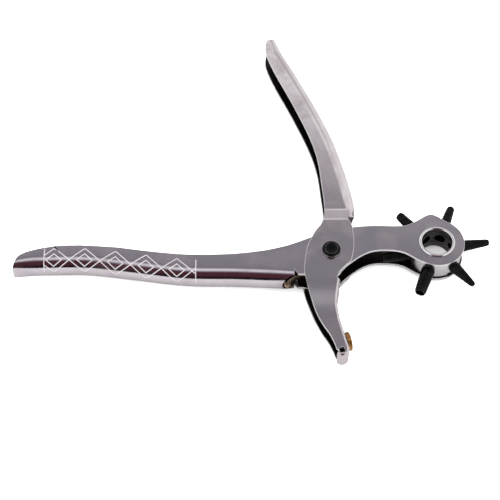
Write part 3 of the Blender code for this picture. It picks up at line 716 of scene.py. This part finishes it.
tree = wheel_nickel.node_tree
shader = tree.nodes["Principled BSDF"]
spot = node(tree, "SeparateXYZ", {0: node(tree, "UVMap", uv_map="unrolled").outputs[0]}).outputs
along = math_node(tree, "DIVIDE", math_node(tree, "PINGPONG", spot[0], LOZENGE_LONG), LOZENGE_LONG)
up = math_node(tree, "ABSOLUTE", math_node(tree, "SUBTRACT", spot[1], ROW))
up = math_node(tree, "DIVIDE", up, LOZENGE_HIGH)
reach = math_node(tree, "ADD", along, up)
out = math_node(tree, "ABSOLUTE", math_node(tree, "SUBTRACT", spot[0], PATTERN_MIDDLE))
pattern = None
steepness = math.hypot(1 / LOZENGE_LONG, 1 / LOZENGE_HIGH)
for value, level, slope in ((reach, 1.0, steepness), (reach, 0.5, steepness), (out, PATTERN_HALF, 1.0)):
    gap = math_node(tree, "ABSOLUTE", math_node(tree, "SUBTRACT", value, level))
    drawn = smooth_step(tree, gap, 1.5 * LINE * slope, 0.7 * LINE * slope)
    pattern = drawn if pattern is None else math_node(tree, "MAXIMUM", pattern, drawn)
inside = math_node(tree, "MULTIPLY", math_node(tree, "LESS_THAN", up, 1.0),
                   math_node(tree, "LESS_THAN", out, PATTERN_HALF + LINE))
pattern = math_node(tree, "MULTIPLY", math_node(tree, "MULTIPLY", pattern, inside), STRENGTH)
for label, frosted in (("Base Color", (0.22, 0.215, 0.22, 1)), ("Roughness", 0.6)):
    plain = shader.inputs[label].links[0].from_socket
    if label == "Base Color":
        mixed = node(tree, "Mix", {0: pattern, 6: plain, 7: frosted}, data_type="RGBA").outputs[2]
    else:
        mixed = node(tree, "Mix", {0: pattern, 2: plain, 3: frosted}).outputs[0]
    tree.links.new(mixed, shader.inputs[label])
tree.links.new(math_node(tree, "SUBTRACT", 1.0, pattern), shader.inputs["Metallic"])
print("pattern from", (PATTERN_MIDDLE - PATTERN_HALF) / MM, "to", (PATTERN_MIDDLE + PATTERN_HALF) / MM, "mm")

# %% [markdown]
# ## Anvil lever
# The second pressing straddles the first one, so its cheeks are further apart at the pivot and
# step in to the grip and to the jaw. The steps are pressed: the cheeks are cut across in thin
# slices, and each slice is moved in by a smooth ramp.

# %% Places on the jaw
CLOSE_ANGLE = math.radians(55.5)
ACTIVE_ANGLE = math.radians(-110.5)
ACTIVE_DIRECTION = Vector((math.cos(ACTIVE_ANGLE), math.sin(ACTIVE_ANGLE)))
PUNCH_REACH = 26.1 * MM
ANVIL_THICKNESS = 2.0 * MM
ANVIL_GAP = 0.3 * MM
opening_turn = Matrix.Rotation(-CLOSE_ANGLE, 2)
ANVIL_FACE = opening_turn @ (centre + (PUNCH_REACH + ANVIL_GAP) * ACTIVE_DIRECTION)
ANVIL_NORMAL = opening_turn @ -ACTIVE_DIRECTION
JAW_SEAT = ANVIL_FACE - (ANVIL_THICKNESS + SEAT_GAP) * ANVIL_NORMAL
JAW_ALONG = Vector((ANVIL_NORMAL.y, -ANVIL_NORMAL.x))
print("jaw seat", [round(v / MM, 2) for v in JAW_SEAT], "mm")


def jaw_point(along, out):
    """A point near the jaw's tip, in millimetres along and out of its back."""
    return JAW_SEAT + (JAW_ALONG * along + ANVIL_NORMAL * out) * MM


# %% Outline of the anvil lever
GRIP = 135.5
open_side = smooth_line([
    flat(-30.0, 0.985 * GRIP), flat(-30.6, 0.944 * GRIP), flat(-29.7, 0.905 * GRIP),
    flat(-25.6, 0.820 * GRIP), flat(-17.3, 0.678 * GRIP), flat(-9.4, 0.527 * GRIP),
    flat(-5.3, 0.416 * GRIP), flat(-3.4, 0.290 * GRIP), flat(-2.4, 24.6), flat(-3.9, 16.6),
    flat(-7.6, 10.8), flat(-11.3, 2.3), flat(-12.5, -5.3), flat(-13.0, -10.9), flat(-12.1, -16.9),
    flat(-10.7, -22.5), jaw_point(-17.6, -10.1), jaw_point(-9.4, -8.7), jaw_point(-3.5, -7.0),
    jaw_point(2.1, -6.1), jaw_point(4.8, -6.0),
], 5)
tip = smooth_line([
    jaw_point(7.2, -6.3), jaw_point(8.8, -4.8), jaw_point(8.9, -2.5), jaw_point(7.6, -0.7),
    jaw_point(5.3, 0.0),
], 3)
jaw_back = smooth_line([
    jaw_point(-6.0, 0.0), jaw_point(-12.0, 0.1), flat(2.2, -27.5), flat(3.0, -21.0), flat(3.9, -15.5),
], 5)
pivot_side = smooth_line([
    flat(3.5, -11.8), flat(6.7, -8.1), flat(9.2, -5.3), flat(10.7, 0.6), flat(11.1, 7.5),
    flat(10.5, 14.5),
], 5)
grip_back = smooth_line([
    flat(12.5, 20.5), flat(12.5, 26.5), flat(11.6, 34.9), flat(7.8, 0.392 * GRIP),
    flat(2.4, 0.532 * GRIP), flat(-5.2, 0.675 * GRIP), flat(-14.1, 0.823 * GRIP),
    flat(-20.4, 0.920 * GRIP), flat(-25.5, GRIP),
], 5)
grip_back_bend = grip_bend(distances(grip_back)[-1], GRIP_HALF, 4.4 * MM, 3.7 * MM, 14 * MM, 10 * MM)
print("upper grip back", round(distances(grip_back)[-1] / MM, 1), "mm long")

# %% Anvil lever
JAW_BEND = 1.7 * MM
LEVER_BITE = 6.2 * MM
JAW_BITE = 2.8 * MM
STEM_HOLE = 1.7 * MM
RELIEF_SIDE = 2.6 * MM
SLICES = 12
steps_in = [(17.6 * MM, 25.5 * MM, GRIP_HALF, ramp), (-15.6 * MM, -35 * MM, JAW_HALF, ease)]
shape = folded_half([(open_side, None, 0), (tip + jaw_back, lambda distance: JAW_BEND, 0),
                     (pivot_side, None, 0), (grip_back, grip_back_bend, 0)], PIVOT_HALF)
for start, end, inner, curve in steps_in:
    slice_at(shape, [start + (end - start) * i / SLICES for i in range(SLICES + 1)], Vector((0, 1, 0)))
for vertex in shape.verts:
    for start, end, inner, curve in steps_in:
        share = curve((vertex.co.y - start) / (end - start))
        vertex.co.z *= 1 - share * (PIVOT_HALF - inner) / PIVOT_HALF
mesh = whole_sheet(shape, "anvil_lever_sheet")
holes = bmesh.new()
rod(holes, PIVOT_HOLE, through, (0, 0, MIDDLE), (0, 0, 1))
rod(holes, LEVER_BITE, 10 * MM, (12.5 * MM, 21.5 * MM, MIDDLE), (1, 0, 0))
rod(holes, JAW_BITE, 6 * MM, (3.9 * MM, -15.5 * MM, MIDDLE), (1, 0, 0))
rod(holes, STEM_HOLE, 4 * SHEET, (*JAW_SEAT, MIDDLE), (*ANVIL_NORMAL, 0), 32)
relief = jaw_point(6.2, -3.6)
turn_jaw = Matrix.Rotation(math.atan2(ANVIL_NORMAL.y, ANVIL_NORMAL.x), 4, "Z")
bmesh.ops.create_cube(holes, size=1.0, matrix=Matrix.Translation((*relief, MIDDLE)) @ turn_jaw
                      @ Matrix.Diagonal((RELIEF_SIDE, RELIEF_SIDE, through, 1)))
mesh = cut_away(mesh, holes, 2)
mesh = break_edges(mesh, EDGE_ROUND, 2)
finish_piece("anvil_lever_sheet", mesh, (anvil_nickel, painted_shade_inside, cut_edge), "anvil_lever",
             ["anvil_handle"])

# %% [markdown]
# ## Turned pieces
# The rivet, the washer, the bush, the anvil, the wheel, its eyelets and the punches are all round
# about an axis. Each is a half profile spun through a full turn, with the seam merged. Their rims
# are then bevelled, and the bevels get a worn finish, because an edge loses its black first.


# %% Spinning a profile
def spun(profile, steps, rims=None, sharp=35, above=-1.0):
    """Profile points are (radius, height). It closes on itself unless it starts on the axis.

    Rims above a height get a small round with the second finish.
    """
    shape = bmesh.new()
    line = [shape.verts.new((radius, 0, height)) for radius, height in profile]
    following = line[1:] if profile[0][0] == 0 else line[1:] + line[:1]
    edges = [shape.edges.new(pair) for pair in zip(line, following)]
    bmesh.ops.spin(shape, geom=line + edges, cent=(0, 0, 0), axis=(0, 0, 1), angle=2 * math.pi,
                   steps=steps, use_merge=True)
    bmesh.ops.remove_doubles(shape, verts=shape.verts, dist=1e-7)
    bmesh.ops.recalc_face_normals(shape, faces=shape.faces)
    if rims:
        corners = [e for e in shape.edges
                   if e.calc_face_angle(0) > math.radians(sharp)
                   and abs(e.verts[0].co.z - e.verts[1].co.z) < 1e-7 and e.verts[0].co.z > above]
        rounded = bmesh.ops.bevel(shape, geom=corners, offset=rims, affect="EDGES", segments=2,
                                  profile=0.5, material=-1, clamp_overlap=True)
        for face in rounded["faces"]:
            face.material_index = 1
    return shape


def stand(shape, matrix):
    bmesh.ops.transform(shape, matrix=matrix, verts=shape.verts)
    return shape


# %% Pivot rivet, washer and bush
top = MIDDLE + PIVOT_HALF + SEAT_GAP
cap = top + 1.8 * MM
rivet = spun([
    (0, cap - 0.75 * MM), (1.3 * MM, cap - 0.72 * MM), (2.2 * MM, cap - 0.55 * MM),
    (2.75 * MM, cap - 0.22 * MM), (3.05 * MM, cap), (3.75 * MM, cap), (4.1 * MM, cap - 0.22 * MM),
    (4.4 * MM, cap - 0.8 * MM), (4.4 * MM, top + 0.1 * MM), (4.3 * MM, top), (RIVET_SHANK, top),
    (RIVET_SHANK, 0), (0, 0),
], 72, 0.10 * MM)
for face in rivet.faces:
    middle_of_face = face.calc_center_median()
    if middle_of_face.to_2d().length > 4.35 * MM and middle_of_face.z > top + 0.15 * MM:
        face.material_index = 2
finish_piece("rivet_with_dished_head", to_mesh(rivet, "rivet"), (black_oxide, worn_black, steel),
             "wheel_lever", ["pivot_rivet"])
washer = spun([
    (4.4 * MM, 0.8 * MM), (4.4 * MM, 0.3 * MM), (4.1 * MM, 0), (2.7 * MM, 0), (2.7 * MM, 0.8 * MM),
], 64, 0.08 * MM)
finish_piece("washer_under_pivot", to_mesh(washer, "washer"), (black_oxide, worn_black),
             "wheel_lever", ["rivet_washer"])
bush_half = WHEEL_LEVER_HALF - SHEET - SEAT_GAP
bush = spun([(3.5 * MM, bush_half), (3.5 * MM, -bush_half), (2.7 * MM, -bush_half),
             (2.7 * MM, bush_half)], 48, 0.1 * MM)
finish_piece("bush_on_pivot", to_mesh(stand(bush, Matrix.Translation((0, 0, MIDDLE))), "bush"),
             (steel, cut_edge), "wheel_lever", ["pivot_bush"])

# %% [markdown]
# ## Anvil
# A soft brass disc takes the punch's edge without blunting it. A fine groove runs round its side,
# and a short stem holds it in the jaw.

# %% Anvil
ANVIL_RADIUS = 4.5 * MM
GROOVE = 0.25 * MM
disc = spun([
    (0, ANVIL_THICKNESS), (ANVIL_RADIUS - 0.35 * MM, ANVIL_THICKNESS),
    (ANVIL_RADIUS, ANVIL_THICKNESS - 0.35 * MM), (ANVIL_RADIUS, 1.0 * MM + GROOVE),
    (ANVIL_RADIUS - 1.2 * GROOVE, 1.0 * MM), (ANVIL_RADIUS, 1.0 * MM - GROOVE),
    (ANVIL_RADIUS, 0.2 * MM), (ANVIL_RADIUS - 0.2 * MM, 0), (1.5 * MM, 0),
    (1.5 * MM, -SEAT_GAP - SHEET - 0.8 * MM), (0, -SEAT_GAP - SHEET - 0.8 * MM),
], 64, 0.05 * MM)
base = ANVIL_FACE - ANVIL_THICKNESS * ANVIL_NORMAL
onto_jaw = Matrix.Translation((*base, MIDDLE)) @ turn_jaw @ Matrix.Rotation(math.pi / 2, 4, "Y")
finish_piece("brass_anvil_disc", to_mesh(stand(disc, onto_jaw), "disc"), (brass, brass),
             "anvil_lever", ["anvil"])

# %% [markdown]
# ## Punch wheel
# The wheel is a thick ring that turns between the cheeks on two eyelets. It is spun from its
# profile, then six holes for the punches and six notches for the index spring are cut in its rim.

# %% Punch wheel
DRUM_RADIUS = 12.4 * MM
DRUM_BORE = 7.1 * MM
DRUM_HALF = WHEEL_LEVER_HALF - SHEET - SEAT_GAP
PUNCH_SHANK = 2.3 * MM
RECESS = 8.2 * MM
RECESS_FLOOR = PUNCH_SHANK + SEAT_GAP + 0.2 * MM
INDEX_ANGLE = ACTIVE_ANGLE - math.radians(69.5)
NOTCH_RADIUS = 1.3 * MM
at_wheel = Matrix.Translation(WHEEL)
drum = stand(spun([
    (DRUM_RADIUS - 0.4 * MM, DRUM_HALF), (DRUM_RADIUS, DRUM_HALF - 0.4 * MM),
    (DRUM_RADIUS, 0.4 * MM - DRUM_HALF), (DRUM_RADIUS - 0.4 * MM, -DRUM_HALF), (RECESS, -DRUM_HALF),
    (RECESS, -RECESS_FLOOR), (DRUM_BORE, -RECESS_FLOOR), (DRUM_BORE, RECESS_FLOOR),
    (RECESS, RECESS_FLOOR), (RECESS, DRUM_HALF),
], 96), at_wheel)
holes = bmesh.new()
for i in range(PUNCH_COUNT):
    angle = ACTIVE_ANGLE + 2 * math.pi * i / PUNCH_COUNT
    out_of = Vector((math.cos(angle), math.sin(angle), 0))
    rod(holes, PUNCH_SHANK + SEAT_GAP, 9.3 * MM, WHEEL + 9.75 * MM * out_of, out_of, 40)
    angle = INDEX_ANGLE + 2 * math.pi * i / PUNCH_COUNT
    out_of = Vector((math.cos(angle), math.sin(angle), 0))
    notch = WHEEL + (DRUM_RADIUS + 0.4 * NOTCH_RADIUS) * out_of - Vector((0, 0, DRUM_HALF))
    rod(holes, NOTCH_RADIUS, 3.2 * MM, notch, (0, 0, 1), 24)
mesh = break_edges(cut_away(to_mesh(drum, "drum"), holes, 1), 0.12 * MM, 1)
# The bore wall gets the dark bore finish and the walls of the punch holes the near-black one: both are
# painted shade inside the wheel.
for face in mesh.polygons:
    from_axis = (face.center - WHEEL).to_2d().length
    if from_axis < DRUM_BORE + 0.1 * MM:
        face.material_index = 2
    elif from_axis < DRUM_RADIUS - 0.6 * MM and abs(face.center.z - MIDDLE) < PUNCH_SHANK + SEAT_GAP:
        face.material_index = 3
finish_piece("punch_wheel_ring", mesh, (satin, cut_edge, bore_painted_shade, painted_shade_inside), "punch_wheel",
             ["punch_drum"])

# %% [markdown]
# ## Eyelets
# Two flared tubes hold the wheel in the head. The flare is rolled over, so its profile is a short
# arc and not a flat collar: that arc is what catches the light all round the hole.

# %% Eyelets
seat = WHEEL_LEVER_HALF + SEAT_GAP
FLANGE = 0.7 * MM
FLANGE_RADIUS = 8.6 * MM
lip = [(7.1 * MM, seat - 0.2 * MM), (7.16 * MM, seat + 0.28 * FLANGE), (7.32 * MM, seat + 0.66 * FLANGE),
       (7.58 * MM, seat + 0.92 * FLANGE), (7.86 * MM, seat + FLANGE), (8.14 * MM, seat + 0.93 * FLANGE),
       (8.40 * MM, seat + 0.70 * FLANGE), (8.55 * MM, seat + 0.38 * FLANGE), (FLANGE_RADIUS, seat)]
inner_end = RECESS_FLOOR + SEAT_GAP
profile = [*reversed(lip), (DRUM_BORE, inner_end), (7.9 * MM, inner_end), (7.9 * MM, seat)]
for side, label in ((1, "top"), (-1, "bottom")):
    flip = Matrix.Rotation(0 if side > 0 else math.pi, 4, "X")
    ring = spun(profile, 96)
    # The tube's inner wall gets the dark bore finish: painted shade inside the bore.
    for face in ring.faces:
        if face.calc_center_median().to_2d().length < DRUM_BORE + 0.02 * MM:
            face.material_index = 1
    ring = stand(ring, at_wheel @ flip)
    finish_piece("rolled_eyelet_" + label, to_mesh(ring, "ring"), (chrome, bore_painted_shade), "punch_wheel",
                 ["axle_eyelet_" + label])

# %% [markdown]
# ## Punches
# Six hollow tubes of different bores stand out of the wheel. Each has a shank in the wheel, a
# collar that takes the thrust, a slim cone and a ground cutting edge. One profile makes them all,
# with the bore as its only changing size, and they are named for the hole that they cut.


# %% Punches
def punch_profile(size):
    inner = 0.5 * size * MM
    edge = inner + 0.28 * MM
    grind = 1.2 * MM
    root = DRUM_RADIUS + SEAT_GAP
    shoulder = root + 1.4 * MM
    bore = max(1.9 * MM, inner)
    cone = min(3.15 * MM, max(2.7 * MM, inner + 0.95 * MM))
    collar = cone + 0.15 * MM
    return [
        (edge - 0.16 * MM, PUNCH_REACH), (edge + 0.22 * MM, PUNCH_REACH - grind),
        (cone, shoulder + 0.4 * MM), (collar, shoulder), (collar, root),
        (PUNCH_SHANK, root), (PUNCH_SHANK, DRUM_BORE + 0.6 * MM), (bore, DRUM_BORE + 0.6 * MM),
        (bore, shoulder), (inner, PUNCH_REACH - 2.5 * grind), (inner, PUNCH_REACH),
    ]


for i, size in enumerate((4.5, 2.0, 2.5, 3.0, 3.5, 4.0)):
    label = f"{size:.1f}".replace(".", "_") + "mm"
    angle = ACTIVE_ANGLE + 2 * math.pi * i / PUNCH_COUNT
    outwards = Matrix.Rotation(angle, 4, "Z") @ Matrix.Rotation(math.pi / 2, 4, "Y")
    tube = stand(spun(punch_profile(size), 56, 0.06 * MM, 30, DRUM_RADIUS), at_wheel @ outwards)
    finish_piece("hollow_punch_" + label, to_mesh(tube, "tube"), (black_oxide, worn_black),
                 "punch_wheel", ["punch_tube_" + label])

# %% [markdown]
# ## Return spring
# One wire pushes the levers apart: a loop in the open stretch of the grip, a leg, a little over
# four turns round the pivot, and a leg up the other grip. Wire is a curve with a round bevel. It is made in
# three pieces, because each leg moves with its own lever and only the turns wind up between them.


# %% Wire
def wire(name, points, radius):
    curve = bpy.data.curves.new(name, "CURVE")
    curve.dimensions = "3D"
    curve.bevel_depth = radius
    curve.bevel_resolution = 5
    curve.use_fill_caps = True
    spline = curve.splines.new("POLY")
    spline.points.add(len(points) - 1)
    for spot, point in zip(spline.points, points):
        spot.co = (*point, 1)
    helper = bpy.data.objects.new("helper", curve)
    bpy.context.scene.collection.objects.link(helper)
    bpy.context.view_layer.update()
    mesh = bpy.data.meshes.new_from_object(helper.evaluated_get(bpy.context.evaluated_depsgraph_get()))
    bpy.data.objects.remove(helper)
    tube = bmesh.new()
    tube.from_mesh(mesh)
    bmesh.ops.remove_doubles(tube, verts=tube.verts, dist=1e-7)
    bmesh.ops.recalc_face_normals(tube, faces=tube.faces)
    tube.to_mesh(mesh)
    tube.free()
    return mesh


# %% Return spring
WIRE = 0.65 * MM
SPRING_PLAY = 0.4 * MM
COIL = PIVOT_HOLE + BUSH_WALL + SPRING_PLAY + WIRE
COIL_HALF = WHEEL_LEVER_HALF - SHEET - 2 * SEAT_GAP - WIRE
low = MIDDLE - COIL_HALF
high = MIDDLE + COIL_HALF
COIL_START = math.radians(-112)
COIL_TURNS = 4.31
STEPS = 40
count = round(STEPS * COIL_TURNS)
coil = [Vector((COIL * math.cos(COIL_START + 2 * math.pi * i / STEPS),
                COIL * math.sin(COIL_START + 2 * math.pi * i / STEPS),
                low + 2 * COIL_HALF * i / count)) for i in range(count + 1)]
loop_centre = Vector((GRIP_BITE.x - 3.1 * MM, -13.7 * MM))
loop = [Vector((*p, MIDDLE - 0.6 * MM * i / 20))
        for i, p in enumerate(arc(loop_centre, 1.05 * MM, -215, 85, 20))]
lower_leg = loop + smooth_line([
    loop[-1], Vector((-17.2 * MM, -9.6 * MM, MIDDLE - 1.2 * MM)),
    Vector((-12.0 * MM, -7.5 * MM, MIDDLE - 2.5 * MM)), Vector((-6.0 * MM, -6.2 * MM, low)), coil[0],
], 8)[1:]
inside = 11.6 * MM - SHEET - SEAT_GAP - WIRE
upper_leg = smooth_line([
    coil[-1], Vector((5.0 * MM, 6.0 * MM, high - 0.3 * MM)), Vector((6.1 * MM, 13.0 * MM, MIDDLE + 2.2 * MM)),
    Vector((7.6 * MM, 22.0 * MM, MIDDLE + 0.8 * MM)), Vector((inside - 0.6 * MM, 29.0 * MM, MIDDLE)),
    Vector((inside - 0.3 * MM, 34.9 * MM, MIDDLE)),
], 8)
finish_piece("spring_leg_in_lower_grip", wire("lower_leg", lower_leg, WIRE), (bronzed,), "wheel_lever")
turns = finish_piece("spring_turns", wire("turns", coil, WIRE), (bronzed,), None,
                     ["return_spring"])
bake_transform(turns)
finish_piece("spring_leg_in_upper_grip", wire("upper_leg", upper_leg, WIRE), (bronzed,), "anvil_lever")

# %% [markdown]
# ## Index spring
# A thin strip curls round a pin and presses its nose into a notch, so each punch clicks into
# place. The strip's line is extruded to its width and given its thickness by solidify.

# %% Index spring and its pin
INDEX_WIDTH = 1.0 * MM
STRIP = 0.5 * MM
PIN = 0.9 * MM
nose = centre + (DRUM_RADIUS - 0.3 * NOTCH_RADIUS + SEAT_GAP) * Vector(
    (math.cos(INDEX_ANGLE), math.sin(INDEX_ANGLE)))
pin_place = nose + flat(-8.5, 6.2)
floor_of_neck = MIDDLE - WHEEL_LEVER_HALF + SHEET
line = arc(pin_place, PIN + TURN_GAP + SEAT_GAP + 0.5 * STRIP, -200, 80, 28)
line += smooth_line([
    pin_place + flat(2.2, 1.1), nose + flat(-3.6, 4.6), nose + flat(-1.5, 2.3), nose + flat(-0.8, 1.1),
    nose, nose + flat(-0.9, -1.0), nose + flat(-1.7, -2.4),
], 6)
strip = bmesh.new()
spots = [strip.verts.new((p.x, p.y, floor_of_neck + SEAT_GAP)) for p in line]
edges = [strip.edges.new(pair) for pair in zip(spots, spots[1:])]
raised = bmesh.ops.extrude_edge_only(strip, edges=edges)["geom"]
bmesh.ops.translate(strip, vec=(0, 0, INDEX_WIDTH),
                    verts=[v for v in raised if isinstance(v, bmesh.types.BMVert)])


def thicken(helper):
    sheet = helper.modifiers.new("sheet", "SOLIDIFY")
    sheet.thickness = STRIP
    sheet.offset = 0


mesh = break_edges(applied(to_mesh(strip, "strip"), thicken), 0.06 * MM, 0)
finish_piece("index_spring_strip", mesh, (bronzed,), "wheel_lever",
             ["index_spring"])
head_level = floor_of_neck + 2 * SEAT_GAP + INDEX_WIDTH
pin = spun([
    (0, head_level + 0.4 * MM), (PIN + 0.3 * MM, head_level + 0.4 * MM), (PIN + 0.5 * MM, head_level),
    (PIN, head_level), (PIN, MIDDLE - WHEEL_LEVER_HALF), (0, MIDDLE - WHEEL_LEVER_HALF),
], 32, 0.05 * MM)
finish_piece("index_pin_turned", to_mesh(stand(pin, Matrix.Translation((*pin_place, 0))), "pin"),
             (steel, cut_edge), "wheel_lever", ["index_spring_pin"])
